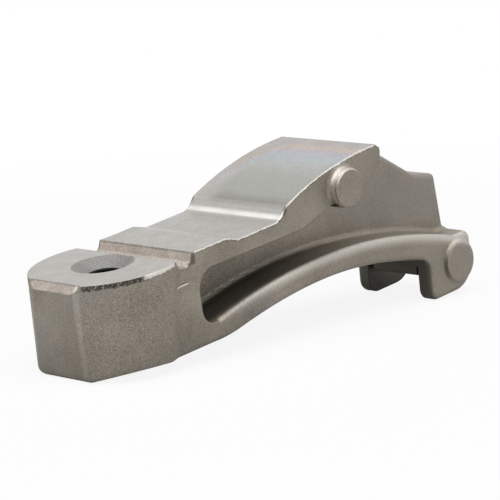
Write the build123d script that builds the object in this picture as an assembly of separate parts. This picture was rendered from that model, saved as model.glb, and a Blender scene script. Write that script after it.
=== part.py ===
from build123d import *
from math import asin, atan2, cos, degrees, hypot, radians, sin, sqrt, tan
import os

# A cast and ground finger-follower rocker arm for an overhead-cam engine.
# Lengths are millimetres. The arm is drawn with its ground nose face level and
# X running from the nose to the valve fork, then laid in its rest pose: nose
# edge and fork ears on the floor, +X towards the fork, +Z up.

# ---- driving dimensions -------------------------------------------------

# cam pad and top slab of the I-section
slab_width = 22.0
slab_rear_x = 68.7
slab_rear_z = 4.3
slab_underside_z = -3.45
slab_rise_x = 47.5
slab_lift_x = 54.5
slab_lift_z = -1.35
slab_step_x = 64.2
slab_step_z = -0.35
slab_end_x = 68.0
slab_end_z = 2.3
pad_foot_x = 41.9
pad_front_x = 43.8
pad_front_z = 1.55
pad_mid_x = 55.0
pad_mid_z = 4.85
pad_rear_x = 67.6
pad_rear_z = 6.1

# ground faces ahead of the cam pad
nose_face_z = 0.0
step_face_z = 0.15
step_front_x = 21.1
step_rear_x = 28.9
valley_front_x = 32.0
valley_z = -0.68
groove_front_x = 16.5
groove_depth = 1.9

# nose boss with its oil hole and the pivot cup below
boss_bulge = 1.6
boss_flat_half = 4.2
boss_draft = 2.0
boss_lean = 5.6
boss_blend = 2.5
nose_bottom_z = -16.2
nose_edge_radius = 1.8
nose_foot_radius = 1.3
belly_front_x = 2.0
belly_front_half = 5.5
belly_rear_x = 14.5
belly_slope = 17.0
belly_edge = 1.0
nose_chamfer_depth = 1.0
nose_chamfer_height = 1.3
oil_hole_x = 11.5
oil_hole_radius = 2.65
countersink_radius = 5.25
countersink_angle = 118.0
cup_radius = 7.0
cup_centre_height = 2.2
cup_lead_in = 0.8

# side pockets, web and arched lower flange
web_half = 3.6
web_fillet = 1.0
pocket_front_x = 21.6
pocket_top_radius = 3.4
pocket_low_radius = 2.6
flange_top_x = 49.5
flange_top_z = -9.9
flange_top_radius = 115.0
flange_bottom_x = 50.0
flange_bottom_z = -14.1
flange_front_radius = 118.0
flange_rear_radius = 90.0
side_edge = 1.2

# rear spine of the web
spine_start_x = 72.9
spine_start_z = 4.35
spine_foot_length = 5.8
spine_foot_z = -4.6
spine_rear_z = -6.1
spine_lean = 0.8
spine_setback = 1.0
spine_edge = 1.1

# valve fork and contact pad
bar_top_z = -16.7
bar_edge = 1.6
slot_top_z = -20.7
fork_front_x = 80.75
fork_length = 12.35
ear_bottom_z = -27.2
ear_front_lean = 0.3
ear_inner_half = 6.1
ear_outer_half = 9.0
ear_root_radius = 1.8
ear_front_radius = 2.2
ear_rear_radius = 5.0
ear_boss_setback = 4.3
ear_boss_z = -21.6
ear_boss_radius = 4.2
ear_boss_height = 0.7
ear_boss_slope = 35.0
ear_boss_rim = 0.3
contact_radius = 12.0
contact_crown = 5.05
contact_bottom_z = -23.4
contact_front_gap = 0.45
contact_rear_gap = 1.7
relief_width = 0.9

# round spring lugs on both sides
lug_x = 58.4
lug_z = 0.85
lug_radius = 3.5
lug_half = 12.7
lug_rim = 0.35
lug_neck = 0.3
lug_flare = 0.8

# ---- derived values -----------------------------------------------------

body_half = slab_width / 2
boss_radius = body_half + boss_bulge
boss_x = sqrt(boss_radius**2 - boss_flat_half**2)
fork_rear_x = fork_front_x + fork_length
spine_base_x = fork_rear_x - spine_setback
spine_rear_x = spine_base_x - spine_lean
spine_foot_x = spine_rear_x - spine_foot_length
ear_boss_x = fork_rear_x - ear_boss_setback
contact_x = fork_front_x + contact_crown
contact_front_x = fork_front_x + contact_front_gap
contact_rear_x = fork_rear_x - contact_rear_gap
contact_half = ear_inner_half - relief_width
contact_centre_z = contact_bottom_z + contact_radius
cup_centre_z = nose_bottom_z + cup_centre_height
countersink_depth = (countersink_radius - oil_hole_radius) / tan(
    radians(countersink_angle / 2)
)
section_x = pocket_front_x + pocket_top_radius
bar_front_x = flange_top_x + sqrt(
    flange_top_radius**2 - (flange_top_radius - flange_top_z + bar_top_z) ** 2
)
taper_start_x = section_x + 6.0
taper_end_x = fork_front_x - 3.0
past = 8.0


def underside_bend():
    # arc from the flat nose underside into the arch: its radius and its rear end
    run = flange_bottom_x - section_x
    drop = flange_bottom_z - nose_bottom_z
    radius = (run**2 / drop - 2 * flange_front_radius + drop) / 2
    share = flange_front_radius / (flange_front_radius + radius)
    return radius, flange_bottom_x - run * share


def top_z(x):
    # upper face of the lower flange
    rise = sqrt(flange_top_radius**2 - (x - flange_top_x) ** 2)
    return flange_top_z - flange_top_radius + rise


def bottom_z(x):
    # underside of the arch, with its own radius on each side of the crown
    radius = flange_front_radius
    if x > flange_bottom_x:
        radius = flange_rear_radius
    rise = sqrt(radius**2 - (x - flange_bottom_x) ** 2)
    return flange_bottom_z - radius + rise


def arc_along(height, x_from, x_to):
    # arc between two stations of a round stretch
    middle = (x_from + x_to) / 2
    return ThreePointArc(
        (x_from, height(x_from)), (middle, height(middle)), (x_to, height(x_to))
    )


def nearest(shapes, x, z):
    # the corner of a drawn side view that lies closest to a point
    return min(shapes, key=lambda v: hypot(v.X - x, v.Y - z))


def side_pocket(side):
    # open space beside the web, rounded where it runs into the casting
    with BuildPart() as pocket:
        with BuildSketch(Plane.XZ.offset(-side * web_half)) as opening:
            with BuildLine():
                arc_along(top_z, pocket_front_x, bar_front_x)
                Polyline(
                    (bar_front_x, bar_top_z),
                    (fork_rear_x + past, bar_top_z),
                    (fork_rear_x + past, pad_rear_z + past),
                    (slab_rear_x, pad_rear_z + past),
                    (slab_rear_x, slab_rear_z),
                    (slab_end_x, slab_end_z),
                    (slab_step_x, slab_step_z),
                    (slab_lift_x, slab_lift_z),
                    (slab_rise_x, slab_underside_z),
                    (pocket_front_x, slab_underside_z),
                    (pocket_front_x, top_z(pocket_front_x)),
                )
            make_face()
            for x, z, radius in (
                (pocket_front_x, slab_underside_z, pocket_top_radius),
                (pocket_front_x, top_z(pocket_front_x), pocket_low_radius),
                (slab_rise_x, slab_underside_z, 5.0),
                (slab_lift_x, slab_lift_z, 5.0),
                (slab_step_x, slab_step_z, 2.0),
                (slab_end_x, slab_end_z, 1.2),
                (slab_rear_x, slab_rear_z, 1.2),
                (bar_front_x, bar_top_z, 3.0),
            ):
                corner = nearest(opening.vertices(), x, z)
                fillet(corner, radius=radius)
        extrude(amount=-side * past * 2)
    return pocket.part


def on_flange_outline(point):
    # true along the outer side of the lower flange and the fork
    side = abs(point.Y)
    in_front = point.X > section_x + 0.01
    return in_front and side > ear_outer_half - 0.01 and point.Z < flange_top_z + 0.5


def web_roots(edges, x_from, x_to):
    # corners in which the web meets the slab, the flange and the pocket ends
    on_web = edges.filter_by(
        lambda e: all(abs(abs(e.position_at(t).Y) - web_half) < 0.02 for t in (0, 0.5, 1))
    )
    return on_web.filter_by(
        lambda e: x_from + 0.01 < e.center().X < x_to - 0.01
        or (e.center().X > x_to and e.center().Z < bar_top_z + 1)
    )


def arm_profile():
    # whole side outline behind the nose, full width
    bend_radius, bend_x = underside_bend()
    bend_mid_x = (section_x + bend_x) / 2
    bend_dip = bend_radius - sqrt(bend_radius**2 - (bend_mid_x - section_x) ** 2)
    bend_mid_z = nose_bottom_z + bend_dip
    with BuildPart() as body:
        with BuildSketch(Plane.XZ) as side:
            with BuildLine():
                Polyline(
                    (section_x, nose_bottom_z),
                    (section_x, step_face_z),
                    (step_rear_x, step_face_z + 0.1),
                    (valley_front_x, valley_z),
                    (pad_foot_x, valley_z + 0.2),
                    (pad_front_x, pad_front_z),
                )
                ThreePointArc(
                    (pad_front_x, pad_front_z),
                    (pad_mid_x, pad_mid_z),
                    (pad_rear_x, pad_rear_z),
                )
                Polyline(
                    (pad_rear_x, pad_rear_z),
                    (slab_rear_x, pad_rear_z - 0.9),
                    (slab_rear_x, spine_start_z + 0.6),
                    (spine_start_x, spine_start_z),
                    (spine_foot_x, spine_foot_z),
                    (spine_rear_x, spine_rear_z),
                    (spine_base_x, bar_top_z),
                    (fork_rear_x, bar_top_z),
                    (fork_rear_x, ear_bottom_z),
                    (fork_front_x - ear_front_lean, ear_bottom_z),
                    (fork_front_x, bottom_z(fork_front_x)),
                )
                arc_along(bottom_z, fork_front_x, flange_bottom_x)
                arc_along(bottom_z, flange_bottom_x, bend_x)
                ThreePointArc(
                    (bend_x, bottom_z(bend_x)),
                    (bend_mid_x, bend_mid_z),
                    (section_x, nose_bottom_z),
                )
            make_face()
            for x, z, radius in (
                (pad_foot_x, valley_z + 0.2, 2.5),
                (pad_front_x, pad_front_z, 1.0),
                (spine_start_x, spine_start_z, 2.5),
                (spine_foot_x, spine_foot_z, 2.5),
                (spine_rear_x, spine_rear_z, 0.9),
                (fork_rear_x, ear_bottom_z, ear_rear_radius),
                (fork_front_x - ear_front_lean, ear_bottom_z, ear_front_radius),
                (fork_front_x, bottom_z(fork_front_x), ear_root_radius),
            ):
                corner = nearest(side.vertices(), x, z)
                fillet(corner, radius=radius)
        extrude(amount=body_half, both=True)
    return body.part


def taper_wedge(side):
    # trims the lower flange in plan, from full width to the width of the fork
    with BuildPart() as wedge:
        with BuildSketch(Plane.XY.offset(-60)) as plan:
            with BuildLine():
                Polyline(
                    (section_x - past, side * body_half),
                    (taper_start_x, side * body_half),
                    (taper_end_x, side * ear_outer_half),
                    (fork_rear_x + past, side * ear_outer_half),
                    (fork_rear_x + past, side * (body_half + past)),
                    (section_x - past, side * (body_half + past)),
                    close=True,
                )
            make_face()
            bend = nearest(plan.vertices(), taper_start_x, side * body_half)
            turn = atan2(body_half - ear_outer_half, taper_end_x - taper_start_x)
            fillet(bend, radius=(taper_start_x - section_x) / tan(turn / 2))
        extrude(amount=60 + (slab_underside_z + flange_top_z) / 2)
    return wedge.part


def i_section():
    # cast arm behind the nose: slab, web, arched flange and fork bar
    with BuildPart() as body:
        add(arm_profile())
        add(side_pocket(1), mode=Mode.SUBTRACT)
        add(side_pocket(-1), mode=Mode.SUBTRACT)
        add(taper_wedge(1), mode=Mode.SUBTRACT)
        add(taper_wedge(-1), mode=Mode.SUBTRACT)
        with Locations(((fork_front_x + fork_rear_x) / 2, 0, slot_top_z - past)):
            Box(4 * past, 2 * ear_inner_half, 2 * past, mode=Mode.SUBTRACT)
        spine = body.edges().filter_by(
            lambda e: abs(abs(e.center().Y) - web_half) < 0.05
            and e.center().X > slab_rear_x + 1
            and e.center().Z > bar_top_z + 1
        )
        fillet(spine, radius=spine_edge)
        fillet(web_roots(body.edges(), section_x, slab_rear_x), radius=web_fillet)
        rear = body.edges().filter_by(
            lambda e: abs(e.center().X - fork_rear_x) < 0.05
            and abs(e.center().Z - bar_top_z) < 0.05
        )
        fillet(rear, radius=bar_edge)
        outer = body.edges().filter_by(
            lambda e: all(on_flange_outline(e.position_at(t)) for t in (0.1, 0.5, 0.9))
        )
        fillet(outer, radius=side_edge)
    return body.part


def belly_cut(side):
    # slopes the outer underside of the boss up and away from the cup
    front = Vector(belly_front_x, side * belly_front_half, nose_bottom_z)
    rear = Vector(belly_rear_x, side * (body_half - 0.1), nose_bottom_z)
    along = (front - rear).normalized()
    outward = Vector(along.Y, -along.X, 0) * side
    slope = radians(belly_slope)
    down = Vector(0, 0, -1) * cos(slope) + outward * sin(slope)
    with BuildPart() as cut:
        with BuildSketch(Plane(origin=rear, x_dir=along, z_dir=down)):
            Rectangle(8 * boss_radius, 8 * boss_radius)
        extrude(amount=2 * past)
    return cut.part


def nose():
    # round drafted boss run into the solid body ahead of the pockets
    deep = nose_bottom_z - past
    lean = radians(boss_lean)
    leaning = Plane(
        origin=(boss_x, 0, 0), x_dir=(cos(lean), 0, -sin(lean)), z_dir=(sin(lean), 0, cos(lean))
    )
    with BuildPart() as body:
        with BuildSketch(leaning.offset(past)):
            Circle(boss_radius + past * tan(radians(boss_draft)))
        extrude(amount=deep - past, taper=boss_draft)
        with Locations((boss_x, 0, nose_face_z + 2 * past)):
            Box(4 * boss_radius, 4 * boss_radius, 4 * past, mode=Mode.SUBTRACT)
        with BuildSketch(Plane.XZ):
            with BuildLine():
                Polyline(
                    (boss_x, nose_face_z),
                    (groove_front_x, nose_face_z),
                    (step_front_x, step_face_z),
                    (section_x, step_face_z),
                    (section_x, deep),
                    (boss_x, deep),
                    close=True,
                )
            make_face()
        extrude(amount=body_half, both=True)
        with Locations((-past / 2, 0, nose_bottom_z / 2)):
            Box(past, 4 * boss_radius, 60, mode=Mode.SUBTRACT)
        corners = body.edges().filter_by(lambda e: e.length > 10)
        flats = corners.filter_by(lambda e: e.center().X < 0.01 and abs(e.center().Y) > 2)
        fillet(flats, radius=nose_edge_radius)
        necks = body.edges().filter_by(
            lambda e: e.length > 10 and boss_x + 1 < e.center().X < pocket_front_x
            and abs(e.center().Y) > 10 and abs(e.tangent_at(0.5).Z) > 0.8
        )
        fillet(necks, radius=boss_blend)
        with Locations((boss_x, 0, nose_bottom_z - 2 * past)):
            Box(4 * boss_radius, 4 * boss_radius, 4 * past, mode=Mode.SUBTRACT)
        low = body.edges().filter_by(
            lambda e: e.center().Z < nose_bottom_z + 0.05
            and abs(e.center().X - section_x) > 0.1
        )
        fillet(low, radius=nose_foot_radius)
        add(belly_cut(1), mode=Mode.SUBTRACT)
        add(belly_cut(-1), mode=Mode.SUBTRACT)
        rims = body.edges().filter_by(
            lambda e: nose_bottom_z + 0.2 < e.center().Z < nose_bottom_z + 2.5
            and e.length > 3
            and abs(e.center().Y) > belly_front_half
            and e.center().X < belly_rear_x
        )
        fillet(rims, radius=belly_edge)
        add(side_pocket(1), mode=Mode.SUBTRACT)
        add(side_pocket(-1), mode=Mode.SUBTRACT)
        roots = web_roots(body.edges(), nose_face_z, section_x)
        fillet(roots, radius=web_fillet)
    return body.part


def ear_boss(side):
    # low round boss on the outside of a fork ear, with a bevelled rim
    crown_y = ear_outer_half + ear_boss_height
    crown_radius = ear_boss_radius - ear_boss_height * tan(radians(ear_boss_slope))
    with BuildPart() as boss:
        with BuildSketch(Plane.XY.offset(ear_boss_z)):
            with BuildLine():
                Polyline(
                    (ear_boss_x, side * (ear_outer_half - 0.5)),
                    (ear_boss_x + ear_boss_radius, side * (ear_outer_half - 0.5)),
                    (ear_boss_x + ear_boss_radius, side * ear_outer_half),
                    (ear_boss_x + crown_radius, side * (crown_y - ear_boss_rim / 2)),
                    (ear_boss_x + crown_radius - ear_boss_rim, side * crown_y),
                    (ear_boss_x, side * crown_y),
                    close=True,
                )
            make_face()
        revolve(axis=Axis((ear_boss_x, 0, ear_boss_z), (0, 1, 0)))
    return boss.part


def contact_pad():
    # convex pad that presses on the valve stem, between two relief grooves
    with BuildPart() as pad:
        with BuildSketch(Plane.XZ):
            with Locations((contact_x, contact_centre_z)):
                Circle(contact_radius)
        extrude(amount=contact_half, both=True)
        with Locations(((contact_front_x + contact_rear_x) / 2, 0, slot_top_z)):
            Box(
                contact_rear_x - contact_front_x,
                2 * contact_half,
                2 * (slot_top_z - contact_bottom_z),
                mode=Mode.INTERSECT,
            )
    return pad.part


def spring_lug(side):
    # round lug with a shallow neck just under its flat end
    neck_y = lug_half - lug_rim - lug_neck
    with BuildPart() as lug:
        with BuildSketch(Plane.XY.offset(lug_z)) as half:
            with BuildLine():
                Polyline(
                    (lug_x, side * web_half / 2),
                    (lug_x + lug_radius, side * web_half / 2),
                    (lug_x + lug_radius, side * (neck_y - lug_neck)),
                    (lug_x + lug_radius - lug_neck, side * neck_y),
                    (lug_x + lug_radius, side * (neck_y + lug_neck)),
                    (lug_x + lug_radius - lug_rim, side * lug_half),
                    (lug_x, side * lug_half),
                    close=True,
                )
            make_face()
        revolve(axis=Axis((lug_x, 0, lug_z), (0, 1, 0)))
    return lug.part


def lug_root(side):
    # cast root around the lug, only where there is slab to carry it
    with BuildPart() as root:
        with BuildSketch(Plane.XY.offset(lug_z)):
            with BuildLine():
                Polyline(
                    (lug_x + lug_radius, side * (body_half + lug_flare)),
                    (lug_x, side * (body_half + lug_flare)),
                    (lug_x, side * (body_half - 0.5)),
                    (lug_x + lug_radius + lug_flare, side * (body_half - 0.5)),
                    (lug_x + lug_radius + lug_flare, side * body_half),
                    (lug_x + lug_radius + lug_flare * 0.3, side * (body_half + lug_flare * 0.3)),
                    close=True,
                )
            make_face()
        revolve(axis=Axis((lug_x, 0, lug_z), (0, 1, 0)))
        add(side_pocket(side), mode=Mode.SUBTRACT)
    return root.part


def groove():
    # cast groove between the two ground faces
    with BuildPart() as cut:
        with BuildSketch(Plane.XZ) as channel:
            with BuildLine():
                Polyline(
                    (groove_front_x, nose_face_z),
                    (groove_front_x + 1.1, nose_face_z - groove_depth + 0.2),
                    (groove_front_x + 2.9, nose_face_z - groove_depth),
                    (groove_front_x + 4.0, nose_face_z - 1.2),
                    (step_front_x, step_face_z),
                    (step_front_x, step_face_z + 2),
                    (groove_front_x, step_face_z + 2),
                    close=True,
                )
            make_face()
            for x, z in ((1.1, 0.2 - groove_depth), (2.9, -groove_depth)):
                corner = nearest(channel.vertices(), groove_front_x + x, nose_face_z + z)
                fillet(corner, radius=0.8)
        extrude(amount=2 * body_half, both=True)
    return cut.part


def oil_hole():
    # drilled hole with its countersink, down into the pivot cup
    with BuildPart() as drill:
        with BuildSketch(Plane.XZ):
            with BuildLine():
                Polyline(
                    (oil_hole_x, nose_face_z + 1.0),
                    (oil_hole_x + countersink_radius, nose_face_z + 1.0),
                    (oil_hole_x + countersink_radius, nose_face_z),
                    (oil_hole_x + oil_hole_radius, nose_face_z - countersink_depth),
                    (oil_hole_x + oil_hole_radius, cup_centre_z),
                    (oil_hole_x, cup_centre_z),
                    close=True,
                )
            make_face()
        revolve(axis=Axis((oil_hole_x, 0, 0), (0, 0, 1)))
    return drill.part


def pivot_cup():
    # spherical seat that rides on the lash adjuster, with a short lead-in
    with BuildPart() as cup:
        with Locations((oil_hole_x, 0, cup_centre_z)):
            Sphere(cup_radius)
        with BuildSketch(Plane.XY.offset(cup_centre_z)):
            with Locations((oil_hole_x, 0)):
                Circle(cup_radius)
        extrude(amount=-3)
        with BuildSketch(Plane.XY.offset(nose_bottom_z + cup_lead_in)):
            with Locations((oil_hole_x, 0)):
                Circle(cup_radius)
        extrude(amount=-3, taper=-45)
    return cup.part


def nose_chamfer():
    # rough bevel along the top front edge of the nose
    with BuildPart() as cut:
        with BuildSketch(Plane.XZ):
            with BuildLine():
                Polyline(
                    (-1, nose_face_z + 1),
                    (nose_chamfer_depth, nose_face_z + 1),
                    (nose_chamfer_depth, nose_face_z),
                    (0, nose_face_z - nose_chamfer_height),
                    (-1, nose_face_z - nose_chamfer_height),
                    close=True,
                )
            make_face()
        extrude(amount=boss_radius, both=True)
    return cut.part


def rest_pitch():
    # angle of the floor line that touches the nose edge and the fork ears
    nose_x = nose_foot_radius
    nose_z = nose_bottom_z + nose_foot_radius
    ear_x = fork_front_x - ear_front_lean + ear_front_radius
    ear_z = ear_bottom_z + ear_front_radius
    span = hypot(ear_x - nose_x, ear_z - nose_z)
    rise = atan2(ear_z - nose_z, ear_x - nose_x)
    return degrees(rise + asin((nose_foot_radius - ear_front_radius) / span))


def rocker_arm():
    # the whole casting with its machined faces, drawn with the nose face level
    with BuildPart() as arm:
        add(i_section())
        add(nose())
        for side in (1, -1):
            add(ear_boss(side))
        add(contact_pad())
        for side in (1, -1):
            add(spring_lug(side))
            add(lug_root(side))
        add(groove(), mode=Mode.SUBTRACT)
        add(nose_chamfer(), mode=Mode.SUBTRACT)
        add(oil_hole(), mode=Mode.SUBTRACT)
        add(pivot_cup(), mode=Mode.SUBTRACT)
    return arm.part


def at_rest(arm):
    # lays the arm on the floor, over the middle of its footprint
    pitched = Rot(0, rest_pitch(), 0) * arm
    bounds = pitched.bounding_box()
    return Pos(-bounds.center().X, 0, -bounds.min.Z) * pitched


laid = at_rest(rocker_arm())
laid.label = "rocker_arm"
os.makedirs("parts", exist_ok=True)
export_step(laid, "parts/rocker_arm.step")
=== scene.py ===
# %% [markdown]
# Rocker arm, dressed for a studio picture.
#
# The object is one casting of steel: a finger follower from an overhead-cam engine. The solid model
# already has its true form, so this lesson is about surface. A casting like this has two very
# different skins. Most of it is left as it came out of the mould and the shot-blaster: dull,
# brownish grey and finely pitted. The few faces that touch other parts are ground bright.

import math

import bpy
from mathutils import Matrix, Vector

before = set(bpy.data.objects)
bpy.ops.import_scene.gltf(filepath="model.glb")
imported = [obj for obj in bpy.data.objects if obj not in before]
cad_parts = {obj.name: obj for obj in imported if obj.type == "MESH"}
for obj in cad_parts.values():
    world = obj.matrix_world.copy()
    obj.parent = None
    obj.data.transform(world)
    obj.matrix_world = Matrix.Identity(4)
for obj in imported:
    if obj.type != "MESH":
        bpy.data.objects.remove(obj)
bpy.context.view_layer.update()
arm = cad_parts["rocker_arm"]
print("faces", len(arm.data.polygons))

# %% [markdown]
# Small helpers keep the node code readable. `link` joins two sockets. `calc` adds a Math node and
# `ramp` a smooth step, and both return their result, so that a mask reads almost like a formula.
# Constants go on the sockets themselves, which keeps the node tree small.

# %% Node helpers
def link(tree, source, target):
    tree.links.new(source, target)


def set_or_link(tree, socket, value):
    if isinstance(value, bpy.types.NodeSocket):
        link(tree, value, socket)
    else:
        socket.default_value = value


def calc(tree, operation, a, b=0.0, c=0.0):
    node = tree.nodes.new("ShaderNodeMath")
    node.operation = operation
    for socket, value in zip(node.inputs, (a, b, c)):
        set_or_link(tree, socket, value)
    return node.outputs[0]


def ramp(tree, value, low, high, at_low=0.0, at_high=1.0):
    node = tree.nodes.new("ShaderNodeMapRange")
    node.interpolation_type = "SMOOTHSTEP"
    for name, number in (
        ("Value", value),
        ("From Min", low),
        ("From Max", high),
        ("To Min", at_low),
        ("To Max", at_high),
    ):
        set_or_link(tree, node.inputs[name], number)
    return node.outputs["Result"]


def blend_colour(tree, factor, a, b):
    node = tree.nodes.new("ShaderNodeMix")
    node.data_type = "RGBA"
    set_or_link(tree, node.inputs[0], factor)
    set_or_link(tree, node.inputs[6], a)
    set_or_link(tree, node.inputs[7], b)
    return node.outputs[2]


def noise(tree, where, size_mm, detail=3.0, roughness=0.55):
    node = tree.nodes.new("ShaderNodeTexNoise")
    link(tree, where, node.inputs["Vector"])
    node.inputs["Scale"].default_value = 1.0 / size_mm
    node.inputs["Detail"].default_value = detail
    node.inputs["Roughness"].default_value = roughness
    return node.outputs["Fac"]


def new_group(title, inputs, outputs):
    group = bpy.data.node_groups.new(title, "ShaderNodeTree")
    for name, kind, value in inputs:
        socket = group.interface.new_socket(name, in_out="INPUT", socket_type=kind)
        if value is not None:
            socket.default_value = value
    for name, kind in outputs:
        group.interface.new_socket(name, in_out="OUTPUT", socket_type=kind)
    entry = group.nodes.new("NodeGroupInput")
    leave = group.nodes.new("NodeGroupOutput")
    return group, entry.outputs, leave.inputs


def place_group(tree, group, **values):
    node = tree.nodes.new("ShaderNodeGroup")
    node.node_tree = group
    for name, value in values.items():
        set_or_link(tree, node.inputs[name.replace("_", " ")], value)
    return node.outputs


def length_of(tree, across, up):
    # distance from a point, in the plane of the two offsets
    flat = tree.nodes.new("ShaderNodeCombineXYZ")
    link(tree, across, flat.inputs[0])
    link(tree, up, flat.inputs[1])
    reach = tree.nodes.new("ShaderNodeVectorMath")
    reach.operation = "LENGTH"
    link(tree, flat.outputs[0], reach.inputs[0])
    return reach.outputs["Value"]


FLOAT, COLOUR, VECTOR = "NodeSocketFloat", "NodeSocketColor", "NodeSocketVector"


def srgb(red, green, blue):
    # screen colour, 0 to 255, as the linear values that shaders use
    linear = []
    for channel in (red, green, blue):
        c = channel / 255
        linear.append(c / 12.92 if c <= 0.04045 else ((c + 0.055) / 1.055) ** 2.4)
    return (*linear, 1.0)


print("helpers ready")

# %% [markdown]
# Every mask below is written in the arm's own drawing frame, in millimetres: x from the flat front of
# the nose, z from the ground nose face, y from the middle plane. The arm lies pitched on the floor, so
# one Mapping node turns the resting position back into that frame. That way a mask can say "ahead of
# the groove" or "above the pad" in the same numbers that a machinist would read off a drawing.

# %% The drawing frame
PITCH = math.radians(7.7063985)
SHIFT = (-0.0477277886, 0.0, 0.0158911007)


def drawing_frame():
    title = "Drawing frame"
    group, entry, leave = new_group(title, (), (("Place", VECTOR), ("Facing", VECTOR)))
    geometry = group.nodes.new("ShaderNodeNewGeometry")
    back = group.nodes.new("ShaderNodeVectorMath")
    back.operation = "SUBTRACT"
    link(group, geometry.outputs["Position"], back.inputs[0])
    back.inputs[1].default_value = SHIFT
    turned = []
    for source in (back.outputs["Vector"], geometry.outputs["True Normal"]):
        turn = group.nodes.new("ShaderNodeVectorRotate")
        turn.rotation_type = "Y_AXIS"
        turn.inputs["Angle"].default_value = PITCH
        link(group, source, turn.inputs["Vector"])
        turned.append(turn.outputs["Vector"])
    to_mm = group.nodes.new("ShaderNodeVectorMath")
    to_mm.operation = "SCALE"
    link(group, turned[0], to_mm.inputs[0])
    to_mm.inputs["Scale"].default_value = 1000.0
    link(group, to_mm.outputs["Vector"], leave["Place"])
    link(group, turned[1], leave["Facing"])
    return group


drawing = drawing_frame()
print("pitch of the resting arm, degrees:", round(math.degrees(PITCH), 2))

# %% [markdown]
# Shot-blasting leaves a skin of tiny overlapping dents, with slow drifts of tone where the shot hit
# harder, and a pit here and there from the sand of the mould. Three sizes of noise make that: a fine
# grain for the dents, a middle one that keeps the grain from looking printed, and a slow one for the
# tone. The pits come from cells that are only kept where a second noise allows them.

# %% Shot-blasted casting skin
def blasted_skin():
    group, entry, leave = new_group(
        "Shot-blasted skin",
        (("Place", VECTOR, None), ("Pits", FLOAT, 0.5)),
        (("Tone", FLOAT), ("Hue", FLOAT), ("Pitted", FLOAT), ("Height", FLOAT)),
    )
    place = entry["Place"]
    grain = noise(group, place, 0.22, 2.0, 0.65)
    clumps = noise(group, place, 0.7, 3.0, 0.6)
    drift = noise(group, place, 9.0, 3.0, 0.5)
    hue = noise(group, place, 14.0, 2.0, 0.5)
    cells = group.nodes.new("ShaderNodeTexVoronoi")
    link(group, place, cells.inputs["Vector"])
    cells.inputs["Scale"].default_value = 0.34
    allowed = ramp(group, noise(group, place, 4.0, 2.0), 0.58, 0.66)
    ragged = calc(group, "MULTIPLY_ADD", clumps, 0.12, cells.outputs["Distance"])
    hollow = ramp(group, ragged, 0.11, 0.2, 1.0, 0.0)
    pitted = calc(group, "MULTIPLY", calc(group, "MULTIPLY", hollow, allowed), entry["Pits"])
    fine = calc(group, "MULTIPLY_ADD", grain, 0.8, calc(group, "MULTIPLY", clumps, 0.2))
    tone = calc(group, "MULTIPLY_ADD", drift, 0.35, fine)
    height = calc(group, "SUBTRACT", fine, calc(group, "MULTIPLY", pitted, 0.5))
    link(group, tone, leave["Tone"])
    link(group, hue, leave["Hue"])
    link(group, pitted, leave["Pitted"])
    link(group, height, leave["Height"])
    return group


skin = blasted_skin()
print("skin group sockets:", [s.name for s in skin.interface.items_tree])

# %% [markdown]
# A ground face is covered in fine parallel scratches that run the way the wheel travelled, here along
# the arm. Noise that is stretched 25 times along one axis gives scratches, and a slow noise varies how
# sharp they are, because no wheel cuts evenly. A fine speck keeps the face from looking like plastic.

# %% Ground finish
def ground_finish():
    group, entry, leave = new_group(
        "Ground finish",
        (("Place", VECTOR, None),),
        (("Tone", FLOAT), ("Roughness", FLOAT), ("Height", FLOAT)),
    )
    stretch = group.nodes.new("ShaderNodeVectorMath")
    stretch.operation = "MULTIPLY"
    link(group, entry["Place"], stretch.inputs[0])
    stretch.inputs[1].default_value = (0.04, 1.0, 1.0)
    scratches = noise(group, stretch.outputs["Vector"], 0.12, 4.0, 0.7)
    patches = noise(group, entry["Place"], 4.0, 3.0, 0.55)
    speck = noise(group, entry["Place"], 0.36, 2.0, 0.7)
    tone = calc(group, "MULTIPLY_ADD", scratches, 0.35, calc(group, "MULTIPLY", patches, 0.45))
    above_mean = calc(group, "SUBTRACT", speck, 0.3)
    tone = calc(group, "MULTIPLY_ADD", above_mean, 0.75, tone)
    wear = calc(group, "MULTIPLY_ADD", scratches, 0.3, patches)
    rough = ramp(group, wear, 0.3, 1.0, 0.3, 0.48)
    link(group, tone, leave["Tone"])
    link(group, rough, leave["Roughness"])
    link(group, scratches, leave["Height"])
    return group


grinding = ground_finish()
print("ground finish group:", grinding.name)

# %% [markdown]
# No edge of a casting is perfectly sharp. The Bevel node rounds the shading at every edge without any
# extra faces, and its normal goes to the bump of the material. Close to an edge that normal turns away
# from the true one, so the same node also says where the edges are. Noise breaks that band up.

# %% Worn edges
EDGE_RADIUS = 0.00038


def worn_edges():
    group, entry, leave = new_group(
        "Worn edge",
        (("Place", VECTOR, None), ("Raggedness", FLOAT, 0.5)),
        (("Edge", FLOAT), ("Normal", VECTOR)),
    )
    rounded = group.nodes.new("ShaderNodeBevel")
    rounded.samples = 6
    rounded.inputs["Radius"].default_value = EDGE_RADIUS
    geometry = group.nodes.new("ShaderNodeNewGeometry")
    match = group.nodes.new("ShaderNodeVectorMath")
    match.operation = "DOT_PRODUCT"
    link(group, rounded.outputs["Normal"], match.inputs[0])
    link(group, geometry.outputs["Normal"], match.inputs[1])
    turned = calc(group, "SUBTRACT", 1.0, match.outputs["Value"])
    chips = calc(group, "SUBTRACT", noise(group, entry["Place"], 0.8, 3.0, 0.6), 0.5)
    ragged = calc(group, "MULTIPLY_ADD", chips, entry["Raggedness"], turned)
    link(group, ramp(group, ragged, 0.01, 0.08), leave["Edge"])
    link(group, rounded.outputs["Normal"], leave["Normal"])
    return group


edges = worn_edges()
print("edge group:", edges.name)

# %% [markdown]
# Which finish lies where? The machinist's numbers answer that. These are the stations of the arm, all in
# millimetres of the drawing frame. The top faces step up and down along the arm, so a curve holds their
# height at each station, and the depth of any point below them is one subtraction.

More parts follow.
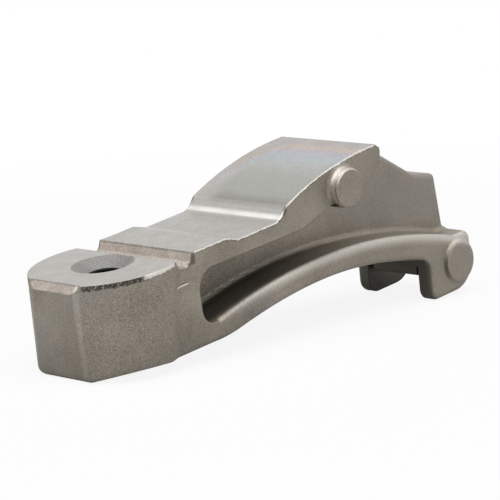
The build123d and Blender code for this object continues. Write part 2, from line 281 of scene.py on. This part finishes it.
# %% The line of the top faces
BOSS_X = 11.5  # axis of the oil hole, the countersink and the cup
COUNTERSINK, OIL_HOLE, CUP = 5.25, 2.65, 7.0  # their radii
GROOVE_FRONT, GROOVE_REAR, PAD_REAR = 16.5, 21.1, 67.7
SLAB_HALF = 11.0  # half the width of the slab
EARS_HALF = 5.25  # half the width of the contact pad between the ears
FLANGE_ARC = (49.5, -124.9, 115.0)  # centre x, z and radius of the flange's top
LUG = (58.4, 0.85, 3.5)  # centre x, z and radius of the spring lug
TOP_LINE = (  # station and height
    (0.0, 0.0),
    (16.5, 0.0),
    (21.1, 0.15),
    (28.9, 0.25),
    (32.0, -0.68),
    (41.0, -0.5),
    (42.3, 0.0),
    (43.6, 1.35),
    (47.0, 2.72),
    (51.0, 4.0),
    (55.0, 4.85),
    (61.0, 5.7),
    (67.6, 6.1),
)
LONG, LOW, TALL = 70.0, -1.0, 8.0  # the range that the curve covers


def top_line(group, x):
    # height of the ground top faces at each station, as a curve
    node = group.nodes.new("ShaderNodeFloatCurve")
    link(group, calc(group, "DIVIDE", x, LONG), node.inputs["Value"])
    line = node.mapping.curves[0]
    while len(line.points) < len(TOP_LINE):
        line.points.new(0.5, 0.5)
    for point, (station, height) in zip(line.points, TOP_LINE):
        point.location = (station / LONG, (height - LOW) / TALL)
        point.handle_type = "VECTOR"
    node.mapping.update()
    return calc(group, "MULTIPLY_ADD", node.outputs[0], TALL, LOW)


print("top line stations:", len(TOP_LINE))

# %% [markdown]
# Every mask asks the same few things about the point that is being shaded: where it lies, which way it
# faces, how far it is below the top line, and how torn the edge is there. `Spot` gathers them once. A mask
# is a number from 0 to 1, so `both` multiplies masks and `most` takes the stronger one.

# %% The point that is being shaded
class Spot:
    def __init__(self, group, entry):
        self.group = group
        place = group.nodes.new("ShaderNodeSeparateXYZ")
        link(group, entry["Place"], place.inputs[0])
        facing = group.nodes.new("ShaderNodeSeparateXYZ")
        link(group, entry["Facing"], facing.inputs[0])
        self.x, self.y, self.z = place.outputs
        self.ahead, _, self.up = facing.outputs
        self.edge = entry["Edge"]
        self.side = calc(group, "ABSOLUTE", self.y)
        self.radius = length_of(group, calc(group, "SUBTRACT", self.x, BOSS_X), self.y)
        self.depth = calc(group, "SUBTRACT", top_line(group, self.x), self.z)
        self.chips = noise(group, entry["Place"], 0.5, 3.0, 0.65)
        self.torn = self.roughened(self.depth, 0.9)
        self.steep = self.below(calc(group, "ABSOLUTE", self.up), 0.5)

    def roughened(self, value, amount):
        uneven = calc(self.group, "SUBTRACT", self.chips, 0.5)
        return calc(self.group, "MULTIPLY_ADD", uneven, amount, value)

    def both(self, *masks):
        joined = masks[0]
        for mask in masks[1:]:
            joined = calc(self.group, "MULTIPLY", joined, mask)
        return joined

    def most(self, *masks):
        strongest = masks[0]
        for mask in masks[1:]:
            strongest = calc(self.group, "MAXIMUM", strongest, mask)
        return strongest

    def above(self, value, limit, soft=0.04):
        return ramp(self.group, value, limit - soft, limit + soft)

    def below(self, value, limit, soft=0.04):
        return ramp(self.group, value, limit - soft, limit + soft, 1.0, 0.0)

    def between(self, value, low, high, soft=0.04):
        return self.both(self.above(value, low, soft), self.below(value, high, soft))

    def distance_to(self, x, z):
        across = calc(self.group, "SUBTRACT", self.x, x)
        return length_of(self.group, across, calc(self.group, "SUBTRACT", self.z, z))


print("questions about a point:", [name for name in vars(Spot) if name[0] != "_"])

# %% [markdown]
# First the faces that a tool has cut. The ground faces look up and lie ahead of the groove or behind it,
# as far as the rear of the cam pad. The countersink, the oil hole and the cup under the nose are turned
# about one axis, so they are found by their distance from it. The contact pad lies between the ears.

# %% Faces that a tool has cut
def cut_faces(at):
    both, above, below = at.both, at.above, at.below
    nose = both(above(at.up, 0.88, 0.03), above(at.z, -0.12), below(at.x, GROOVE_FRONT))
    pad = both(above(at.up, 0.35), at.between(at.x, GROOVE_REAR, PAD_REAR + 0.05))
    pad = both(pad, below(at.side, SLAB_HALF + 0.06), below(at.depth, 0.5))
    sunk = both(below(at.radius, COUNTERSINK + 0.02), below(at.z, -0.02, 0.015))
    cup = both(below(at.radius, CUP + 0.9), below(at.z, -6.6), below(at.up, -0.02, 0.02))
    contact = both(below(at.z, -20.9), below(at.side, EARS_HALF), at.between(at.x, 80.9, 91.7))
    return {
        "Ground": at.most(nose, pad),
        "Countersink": both(sunk, above(at.z, -1.75)),
        "Bore shade": both(below(at.radius, OIL_HOLE + 0.08), at.between(at.z, -8.2, -1.4)),
        "Seat": at.most(cup, both(contact, below(at.up, -0.5))),
    }


print("cut faces read the stations", GROOVE_FRONT, GROOVE_REAR, PAD_REAR)

# %% [markdown]
# The groove and the bevel along the front of the nose were cast and only brushed since, so both show
# a warmer metal. The nose's side keeps a dark torn burr where the wheel ran off.

# %% Brushed faces and the burr
def brushed_faces(at):
    both, above, below = at.both, at.above, at.below
    groove = both(at.between(at.x, GROOVE_FRONT - 0.05, GROOVE_REAR + 0.02), above(at.z, -2.4))
    chamfer = both(below(at.x, 1.5), above(at.z, -1.5), above(at.up, 0.2))
    burr = both(at.steep, below(at.torn, 0.85, 0.15), above(at.x, 0.9, 0.3))
    return {
        "Groove": both(groove, above(at.up, 0.2), below(at.depth, 2.2)),
        "Chamfer": both(chamfer, below(at.up, 0.88, 0.03), below(at.side, 5.5, 0.25)),
        "Burr": both(burr, below(at.x, 9.8, 0.8)),
    }


print("brushed faces: groove and chamfer, and the burr beside them")

# %% [markdown]
# The rims of the ground faces are worn bright. Below the groove a score line gets a painted highlight
# along its lower half, and so does the near end of the bevel.

# %% Worn rims and painted highlights
# heights of the score line's painted highlight and its painted shade
SCORE_HIGHLIGHT, SCORE_SHADE = (-4.62, -4.4), (-4.38, -4.22)  # heights of its bright and dark half


def score_line(at):
    # the stretch of the near side that the line runs over
    ends = at.both(at.above(at.x, 16.4, 0.1), at.below(at.x, 19.3, 0.3))
    return at.both(at.steep, ends, at.below(at.y, -9.0))


def wear_and_highlights(at, chamfer):
    both, above, below = at.both, at.above, at.below
    lip = both(above(at.x, 9.0, 0.6), below(at.x, 16.2, 0.3), below(at.torn, 0.62, 0.1))
    rim = both(above(at.x, GROOVE_REAR, 0.1), below(at.x, PAD_REAR, 0.3))
    rim = both(rim, below(at.torn, 0.22, 0.06))
    worn = both(at.steep, above(at.side, 9.5), at.most(lip, rim))
    # painted highlight on the lower half of the score line and at the near end of the bevel
    line = both(score_line(at), at.between(at.z, *SCORE_HIGHLIGHT, 0.05))
    tip_highlight = both(below(at.y, -4.9, 0.25), chamfer, 0.8)
    return at.most(worn, line, tip_highlight)


print("score line from", SCORE_HIGHLIGHT[0], "to", SCORE_SHADE[1], "mm")

# %% [markdown]
# Painted shade darkens the corners: under the rim of the slab, along the top corner of the pockets, at
# both feet of the groove and in the score line. Two nicks on the slab's edge are darkened as marks of
# their own.

# %% Painted shade and dark lines
def shade_and_dark_lines(at):
    both, above, below = at.both, at.above, at.below
    # painted shade under the rim of the slab and along the top corner of the pockets
    under = both(above(at.torn, 0.26, 0.06), below(at.torn, 0.4, 0.06))
    under = both(under, above(at.x, GROOVE_REAR, 0.2), at.steep)
    under = both(under, above(at.side, 10.5), below(at.x, PAD_REAR), 0.7)
    corner = both(above(at.x, 24.0, 0.8), below(at.x, 52.0, 2.0), above(at.depth, 2.0))
    corner = both(corner, above(at.z, -4.2), at.edge)
    shade = both(score_line(at), at.between(at.z, *SCORE_SHADE, 0.05))
    nick = both(above(at.x, 19.7, 0.2), below(at.x, 21.5, 0.1), above(at.z, -1.8, 0.2))
    nick = both(nick, below(at.torn, 2.0))
    nick_too = both(at.between(at.x, 43.1, 43.9, 0.1), below(at.torn, 0.9, 0.1))
    nick = both(at.most(nick, nick_too), above(at.side, 10.75, 0.1))
    return at.most(under, corner, shade, nick, dark_edge_lines(at), fold_shade(at))


def dark_edge_lines(at):
    # dark lines along the top edge of the bevel and the rear edge of the groove
    both, above, below = at.both, at.above, at.below
    front = both(at.between(at.x, 0.92, 1.25, 0.06), below(at.side, 5.6), above(at.z, -0.3))
    rear = both(above(at.x, 21.0, 0.05), below(at.x, 21.35, 0.06))
    rear = both(rear, below(at.side, 10.7), above(at.z, -0.3))
    return both(at.most(front, rear), ramp(at.group, at.chips, 0.3, 0.6, 0.35, 0.8))


def fold_shade(at):
    # painted shade along the edges of the bevel and of the groove
    both, above, below = at.both, at.above, at.below
    fold = at.most(below(at.x, 2.0), above(at.x, GROOVE_FRONT - 0.3))
    fold = both(fold, below(at.x, GROOVE_REAR + 0.3), above(at.z, -1.6), below(at.side, 10.8))
    return both(fold, at.edge, above(at.up, 0.3), 0.6)


print("dark lines: under the rim, corner, score line, nicks, scores, folds")

# %% [markdown]
# A painted highlight lightens the raw skin where it stands out: on the shoulder of the flange, on the
# spring lug and, faintly, down the corner of the nose. The shoulder follows the flange's own arc.

# %% Painted highlights
def painted_highlights(at):
    both, above, below = at.both, at.above, at.below
    centre_x, centre_z, radius = FLANGE_ARC
    fallen = calc(at.group, "SUBTRACT", radius, at.distance_to(centre_x, centre_z))
    fallen = at.roughened(fallen, 1.2)
    shoulder = both(below(fallen, 1.3, 0.9), below(at.up, 0.95, 0.04), above(at.x, 28.5, 6.5))
    shoulder = both(shoulder, above(at.side, 8.0, 0.4), below(at.z, -7.0))
    shoulder = both(shoulder, ramp(at.group, at.x, 30.0, 46.0, 0.55, 1.0))
    lug_top = both(above(at.up, 0.45, 0.25), above(at.side, SLAB_HALF + 0.1), above(at.x, 50.0))
    highlighted = both(at.most(shoulder, lug_top), ramp(at.group, at.chips, 0.3, 0.55, 0.75, 1.0))
    corner_highlight = both(below(at.x, 1.3, 0.5), at.between(at.y, -5.7, -4.7, 0.35), at.steep)
    corner_highlight = both(corner_highlight, above(at.z, -15.0, 0.8), below(at.z, -1.0, 0.3), 0.28)
    return at.most(highlighted, corner_highlight)


print("flange arc:", FLANGE_ARC)

# %% [markdown]
# Painted shade darkens the places that the lamp hardly reaches: between the ears, on the floor of the
# pockets and in the neck of the lug. The low parts of the nose get painted shade too, because they see
# less of the studio.

# %% Painted shade in pockets and low places
def pocket_shade(at):
    both, above, below = at.both, at.above, at.below
    fork = both(below(at.z, -17.2, 0.6), above(at.x, 70.0, 3.0))
    fork = both(fork, at.most(below(at.side, 8.6, 0.3), below(at.ahead, -0.6, 0.2)))
    floor = both(above(at.up, 0.35, 0.3), below(at.side, 9.6, 0.8), below(at.z, -7.0, 0.5))
    floor = both(floor, above(at.x, 21.0), ramp(at.group, at.x, 36.0, 64.0, 1.0, 0.0))
    centre_x, centre_z, radius = LUG
    neck = below(at.distance_to(centre_x, centre_z), radius + 0.7, 0.3)
    neck = both(neck, below(at.side, 11.7, 0.4), above(at.side, 3.7), below(at.z, -0.6, 1.2))
    return at.most(fork, floor, both(neck, above(at.x, 50.0), above(at.z, -6.0)))


def low_shade(at):
    both, below = at.both, at.below
    flank = both(ramp(at.group, at.z, -7.0, -15.0), below(at.x, 36.0, 7.0), at.steep, 0.5)
    return at.most(flank, both(below(at.z, -15.4, 0.6), below(at.x, 30.0, 4.0)))


print("lug centre:", LUG[:2], "radius", LUG[2])

# %% [markdown]
# One group now holds all the masks, those of painted shade and painted highlights among them. It also
# passes on where the point lies along and across the arm,
# because the heat colours need that.

# %% Where each finish and each painted light lies
FINISHES = (
    "Ground",
    "Countersink",
    "Bore shade",
    "Seat",
    "Groove",
    "Chamfer",
    "Burr",
    "Wear and highlight",
    "Shade and dark line",
    "Painted highlight",
    "Pocket shade",
    "Low",
    "Along",
    "Across",
)


def finish_map():
    group, entry, leave = new_group(
        "Finish map",
        (("Place", VECTOR, None), ("Facing", VECTOR, None), ("Edge", FLOAT, 0.0)),
        tuple((name, FLOAT) for name in FINISHES),
    )
    at = Spot(group, entry)
    masks = {**cut_faces(at), **brushed_faces(at)}
    masks["Wear and highlight"] = wear_and_highlights(at, masks["Chamfer"])
    masks["Shade and dark line"] = shade_and_dark_lines(at)
    masks["Painted highlight"] = painted_highlights(at)
    masks["Pocket shade"] = pocket_shade(at)
    masks["Low"] = low_shade(at)
    masks["Along"], masks["Across"] = at.x, at.y
    for name in FINISHES:
        link(group, masks[name], leave[name])
    return group


finishes = finish_map()
print("finish masks:", [s.name for s in finishes.interface.items_tree if s.in_out == "OUTPUT"])

# %% [markdown]
# Hard running heats the cam pad, and a thin oxide film shows how hot each band became: straw, then
# purple, then blue. A colour ramp holds those temper colours in the order of distance along the pad.
# The edges of the pad run hotter, so there the same colours reach further forward.

# %% Temper colours of the cam pad
TEMPER_FROM, TEMPER_TO = 43.0, 69.0
TEMPER_COLOURS = (
    (43.6, (132, 131, 126)),
    (46.5, (162, 162, 157)),
    (52.0, (168, 168, 163)),
    (55.0, (177, 179, 177)),
    (58.0, (176, 183, 186)),
    (60.0, (177, 180, 188)),
    (61.6, (183, 176, 181)),
    (63.2, (193, 179, 168)),
    (65.0, (178, 172, 168)),
    (67.5, (170, 167, 165)),
)


def temper_film():
    group, entry, leave = new_group(
        "Temper film",
        (("Place", VECTOR, None), ("Along", FLOAT, 0.0), ("Across", FLOAT, 0.0)),
        (("Colour", COLOUR),),
    )
    hotter_edge = ramp(group, entry["Across"], 5.0, 11.5, 0.0, 10.5)
    waver = calc(group, "SUBTRACT", noise(group, entry["Place"], 5.5, 3.0, 0.6), 0.5)
    reached = calc(group, "ADD", entry["Along"], hotter_edge)
    reached = calc(group, "MULTIPLY_ADD", waver, 2.2, reached)
    span = TEMPER_TO - TEMPER_FROM
    share = calc(group, "DIVIDE", calc(group, "SUBTRACT", reached, TEMPER_FROM), span)
    colours = group.nodes.new("ShaderNodeValToRGB")
    link(group, share, colours.inputs[0])
    stops = colours.color_ramp.elements
    while len(stops) < len(TEMPER_COLOURS):
        stops.new(0.5)
    for stop, (distance, shade) in zip(stops, TEMPER_COLOURS):
        stop.position = (distance - TEMPER_FROM) / span
        stop.color = srgb(*shade)
    straw = ramp(group, entry["Across"], 6.0, 10.5, 0.0, 0.65)
    warmed = blend_colour(group, straw, colours.outputs[0], srgb(182, 174, 166))
    link(group, warmed, leave["Colour"])
    return group


temper = temper_film()
print("temper colours:", len(TEMPER_COLOURS))

# %% [markdown]
# One material now carries the whole casting, because it is one piece of metal. The masks choose between
# skins and also lay painted shade and painted highlights on them. The raw skin is mostly metal but rough,
# so it goes dark inside the pockets, where it has little to mirror, and painted shade darkens them
# further. The cut faces are smoother metal, which mirrors the studio softly.

# %% The casting's material
PAD_FOOT = 42.2  # station where the valley turns up into the pad


def casting_material():
    material = bpy.data.materials.new("Cast steel, blasted and ground")
    material.use_nodes = True
    tree = material.node_tree
    tree.nodes.clear()
    here = place_group(tree, drawing)
    place = here["Place"]
    worn = place_group(tree, edges, Place=place, Raggedness=0.1)
    where = place_group(
        tree, finishes, Place=place, Facing=here["Facing"], Edge=worn["Edge"]
    )
    cast = place_group(tree, skin, Place=place, Pits=0.7)
    cut = place_group(tree, grinding, Place=place)

    def paint(mask, colour, shade):
        return blend_colour(tree, mask, colour, shade)

    calm = ramp(tree, where["Along"], 14.0, 70.0, 0.0, 0.55)
    grain = calc(tree, "SUBTRACT", 0.68, cast["Tone"])
    grain = calc(tree, "MULTIPLY_ADD", grain, calm, cast["Tone"])
    raw = paint(ramp(tree, grain, 0.45, 0.9), srgb(117, 110, 99), srgb(165, 157, 145))
    raw = paint(ramp(tree, cast["Hue"], 0.5, 0.72, 0.0, 0.4), raw, srgb(124, 123, 123))
    # painted highlight: the flange's shoulder, the lug's top and the nose's corner made lighter
    raw = paint(calc(tree, "MULTIPLY", where["Painted highlight"], 0.85), raw, srgb(193, 188, 180))
    # painted shade on the low parts of the nose
    raw = paint(calc(tree, "MULTIPLY", where["Low"], 0.6), raw, srgb(72, 70, 64))
    # painted shade between the ears, on the pocket floors and under the lug
    raw = paint(calc(tree, "MULTIPLY", where["Pocket shade"], 0.75), raw, srgb(46, 47, 42))
    raw = paint(cast["Pitted"], raw, srgb(72, 66, 59))

    tempered = place_group(
        tree, temper, Place=place, Along=where["Along"], Across=where["Across"]
    )["Colour"]
    on_pad = ramp(tree, where["Along"], 43.0, 44.3)
    bright = paint(on_pad, srgb(180, 178, 173), tempered)
    bright = paint(ramp(tree, cut["Tone"], 0.4, 0.75, 0.0, 0.5), bright, srgb(140, 137, 131))
    # painted highlight: a bright band along the foot of the cam pad
    from_foot = calc(tree, "SUBTRACT", where["Along"], PAD_FOOT)
    foot_highlight = calc(tree, "SUBTRACT", 1.0, calc(tree, "ABSOLUTE", from_foot))
    bright = paint(ramp(tree, foot_highlight, 0.3, 0.85), bright, srgb(214, 211, 207))
    colour = paint(where["Ground"], raw, bright)
    turned = calc(tree, "MAXIMUM", where["Countersink"], where["Seat"])
    lathe = paint(ramp(tree, cut["Tone"], 0.35, 0.7), srgb(152, 151, 147), srgb(124, 123, 119))
    colour = paint(turned, colour, lathe)
    # painted shade: the oil hole near black
    colour = paint(where["Bore shade"], colour, srgb(26, 25, 24))
    brushed = calc(tree, "MAXIMUM", where["Groove"], where["Chamfer"])
    pink = paint(ramp(tree, cut["Tone"], 0.35, 0.7), srgb(198, 187, 178), srgb(162, 152, 143))
    colour = paint(brushed, colour, pink)
    scale = ramp(tree, noise(tree, place, 0.4, 3.0, 0.7), 0.34, 0.52)
    colour = paint(calc(tree, "MULTIPLY", where["Burr"], scale), colour, srgb(62, 59, 55))
    # worn bright rims, and a painted highlight on the score line and the near end of the bevel
    colour = paint(calc(tree, "MULTIPLY", where["Wear and highlight"], 0.9), colour, srgb(226, 221, 213))
    # painted shade in corners, creases and the score line, with two nicks and thin dark edge lines
    colour = paint(calc(tree, "MULTIPLY", where["Shade and dark line"], 0.7), colour, srgb(70, 66, 60))

    machined = calc(tree, "MAXIMUM", where["Ground"], brushed)
    metal = calc(tree, "MAXIMUM", calc(tree, "MAXIMUM", machined, turned), where["Wear and highlight"])
    rough_cast = ramp(tree, cast["Tone"], 0.45, 0.9, 0.56, 0.42)
    rough_cast = calc(tree, "MULTIPLY_ADD", where["Countersink"], 0.1, rough_cast)
    rough = tree.nodes.new("ShaderNodeMix")
    link(tree, machined, rough.inputs[0])
    link(tree, rough_cast, rough.inputs[2])
    link(tree, cut["Roughness"], rough.inputs[3])

    relief = tree.nodes.new("ShaderNodeMix")
    link(tree, metal, relief.inputs[0])
    link(tree, cast["Height"], relief.inputs[2])
    link(tree, calc(tree, "MULTIPLY", cut["Height"], 0.12), relief.inputs[3])
    bump = tree.nodes.new("ShaderNodeBump")
    bump.inputs["Strength"].default_value = 0.6
    bump.inputs["Distance"].default_value = 0.00012
    link(tree, relief.outputs[0], bump.inputs["Height"])
    link(tree, worn["Normal"], bump.inputs["Normal"])

    steel = tree.nodes.new("ShaderNodeBsdfPrincipled")
    link(tree, colour, steel.inputs["Base Color"])
    metallic = calc(tree, "MULTIPLY_ADD", metal, 0.18, 0.8)
    metallic = calc(tree, "MULTIPLY_ADD", where["Countersink"], -0.7, metallic)
    link(tree, metallic, steel.inputs["Metallic"])
    link(tree, rough.outputs[0], steel.inputs["Roughness"])
    link(tree, bump.outputs[0], steel.inputs["Normal"])
    out = tree.nodes.new("ShaderNodeOutputMaterial")
    link(tree, steel.outputs[0], out.inputs["Surface"])
    return material


cast_steel = casting_material()
for slot in arm.material_slots:
    slot.link = "OBJECT"
    slot.material = cast_steel
print("casting material on", len(arm.material_slots), "slot(s)")

# %% [markdown]
# The studio is a white table under one wide soft lamp. White is what the camera and the metal should
# see all round, but a world that bright would also fill every pocket with light. Light Path splits the
# two: seen directly or in a reflection the world is plain white, and as a light source it is dim. The
# table does the same, but lets part of the real shadow through.

# %% Table and world
def seen_directly(tree, mirrored=1.0):
    # 1 where the camera, or a mirroring or clear surface, looks straight at it
    path = tree.nodes.new("ShaderNodeLightPath")
    glossy = calc(tree, "MULTIPLY", path.outputs["Is Glossy Ray"], mirrored)
    seen = calc(tree, "MAXIMUM", path.outputs["Is Camera Ray"], glossy)
    return calc(tree, "MAXIMUM", seen, path.outputs["Is Transmission Ray"])


world = bpy.data.worlds.new("Studio")
bpy.context.scene.world = world
world.use_nodes = True
sky = world.node_tree
sky.nodes.clear()
shown, lighting = sky.nodes.new("ShaderNodeBackground"), sky.nodes.new("ShaderNodeBackground")
shown.inputs["Color"].default_value = (1.0, 1.0, 1.0, 1.0)
shown.inputs["Strength"].default_value = 1.0
lighting.inputs["Color"].default_value = (0.98, 0.99, 1.0, 1.0)
lighting.inputs["Strength"].default_value = 0.06
either = sky.nodes.new("ShaderNodeMixShader")
link(sky, seen_directly(sky), either.inputs[0])
link(sky, lighting.outputs[0], either.inputs[1])
link(sky, shown.outputs[0], either.inputs[2])
link(sky, either.outputs[0], sky.nodes.new("ShaderNodeOutputWorld").inputs["Surface"])

bpy.ops.mesh.primitive_plane_add(size=4.0, location=(0.0, 0.0, 0.0))
table = bpy.context.object
table.name = "table"
white = bpy.data.materials.new("White table")
white.use_nodes = True
cloth = white.node_tree
cloth.nodes.clear()
matt = cloth.nodes.new("ShaderNodeBsdfDiffuse")
matt.inputs["Color"].default_value = (0.92, 0.92, 0.92, 1.0)
glow = cloth.nodes.new("ShaderNodeEmission")
glow.inputs["Color"].default_value = (1.0, 1.0, 1.0, 1.0)
glow.inputs["Strength"].default_value = 1.0
spot = cloth.nodes.new("ShaderNodeNewGeometry")
span = cloth.nodes.new("ShaderNodeVectorMath")
span.operation = "LENGTH"
link(cloth, spot.outputs["Position"], span.inputs[0])
away = ramp(cloth, span.outputs["Value"], 0.10, 0.26, 0.89, 1.0)
mix = cloth.nodes.new("ShaderNodeMixShader")
link(cloth, calc(cloth, "MULTIPLY", away, seen_directly(cloth, 0.25)), mix.inputs[0])
link(cloth, matt.outputs[0], mix.inputs[1])
link(cloth, glow.outputs[0], mix.inputs[2])
link(cloth, mix.outputs[0], cloth.nodes.new("ShaderNodeOutputMaterial").inputs["Surface"])
table.data.materials.append(white)
print("table and world ready")

# %% [markdown]
# One wide lamp hangs over the arm, a little towards the nose, so that the top faces are brightest and
# the nose's front is a touch lighter than its side. Its size sets how soft the shadow under the arch is.
# Seen from straight above, the ground faces mirror this lamp and turn white.

# %% Lamp
def soft_lamp(name, place, aim, size, power):
    data = bpy.data.lights.new(name, "AREA")
    data.shape = "SQUARE"
    data.size = size
    data.energy = power
    lamp = bpy.data.objects.new(name, data)
    bpy.context.collection.objects.link(lamp)
    lamp.location = place
    direction = Vector(aim) - Vector(place)
    lamp.rotation_euler = direction.to_track_quat("-Z", "Y").to_euler()
    return lamp


LAMP_PLACE, LAMP_SIZE, LAMP_WATTS = (-0.22, -0.22, 0.9), 1.5, 14.5
overhead = soft_lamp("overhead", LAMP_PLACE, (0.0, 0.0, 0.0), LAMP_SIZE, LAMP_WATTS)
print("lamp", overhead.name, overhead.data.energy, "W")

# %% [markdown]
# The camera stands low, off the near corner of the nose, with a long lens. Its place is written in the
# drawing frame and turned with the arm, so that the two can't drift apart.

# %% Camera
AZIMUTH, ELEVATION, ROLL = (math.radians(a) for a in (45.522, 15.441, -7.758))
OFFSET_RIGHT, OFFSET_UP, DISTANCE = -0.031610, -0.005445, 0.376337
FOCAL_PIXELS, PICTURE = 2378.59, 500


def low_camera():
    level = math.cos(ELEVATION)
    ahead = Vector(
        (level * math.cos(AZIMUTH), level * math.sin(AZIMUTH), -math.sin(ELEVATION))
    )
    flat_right = Vector((math.sin(AZIMUTH), -math.cos(AZIMUTH), 0.0))
    flat_up = flat_right.cross(ahead)
    right = math.cos(ROLL) * flat_right + math.sin(ROLL) * flat_up
    up = math.cos(ROLL) * flat_up - math.sin(ROLL) * flat_right
    place = -(OFFSET_RIGHT * right + OFFSET_UP * up + DISTANCE * ahead)
    lay = Matrix.Translation(SHIFT) @ Matrix.Rotation(-PITCH, 4, "Y")
    data = bpy.data.cameras.new("camera")
    data.sensor_width = 36.0
    data.lens = FOCAL_PIXELS / PICTURE * 36.0
    data.clip_start = 0.01
    data.dof.use_dof = False
    camera = bpy.data.objects.new("camera", data)
    bpy.context.collection.objects.link(camera)
    turned = Matrix((right, up, -ahead)).transposed().to_4x4()
    camera.matrix_world = lay @ Matrix.Translation(place) @ turned
    return camera


camera = low_camera()
bpy.context.scene.camera = camera
print("camera at", [round(v, 3) for v in camera.matrix_world.translation])
print("lens, mm:", round(camera.data.lens, 1))

bpy.context.scene.view_settings.view_transform = "Standard"
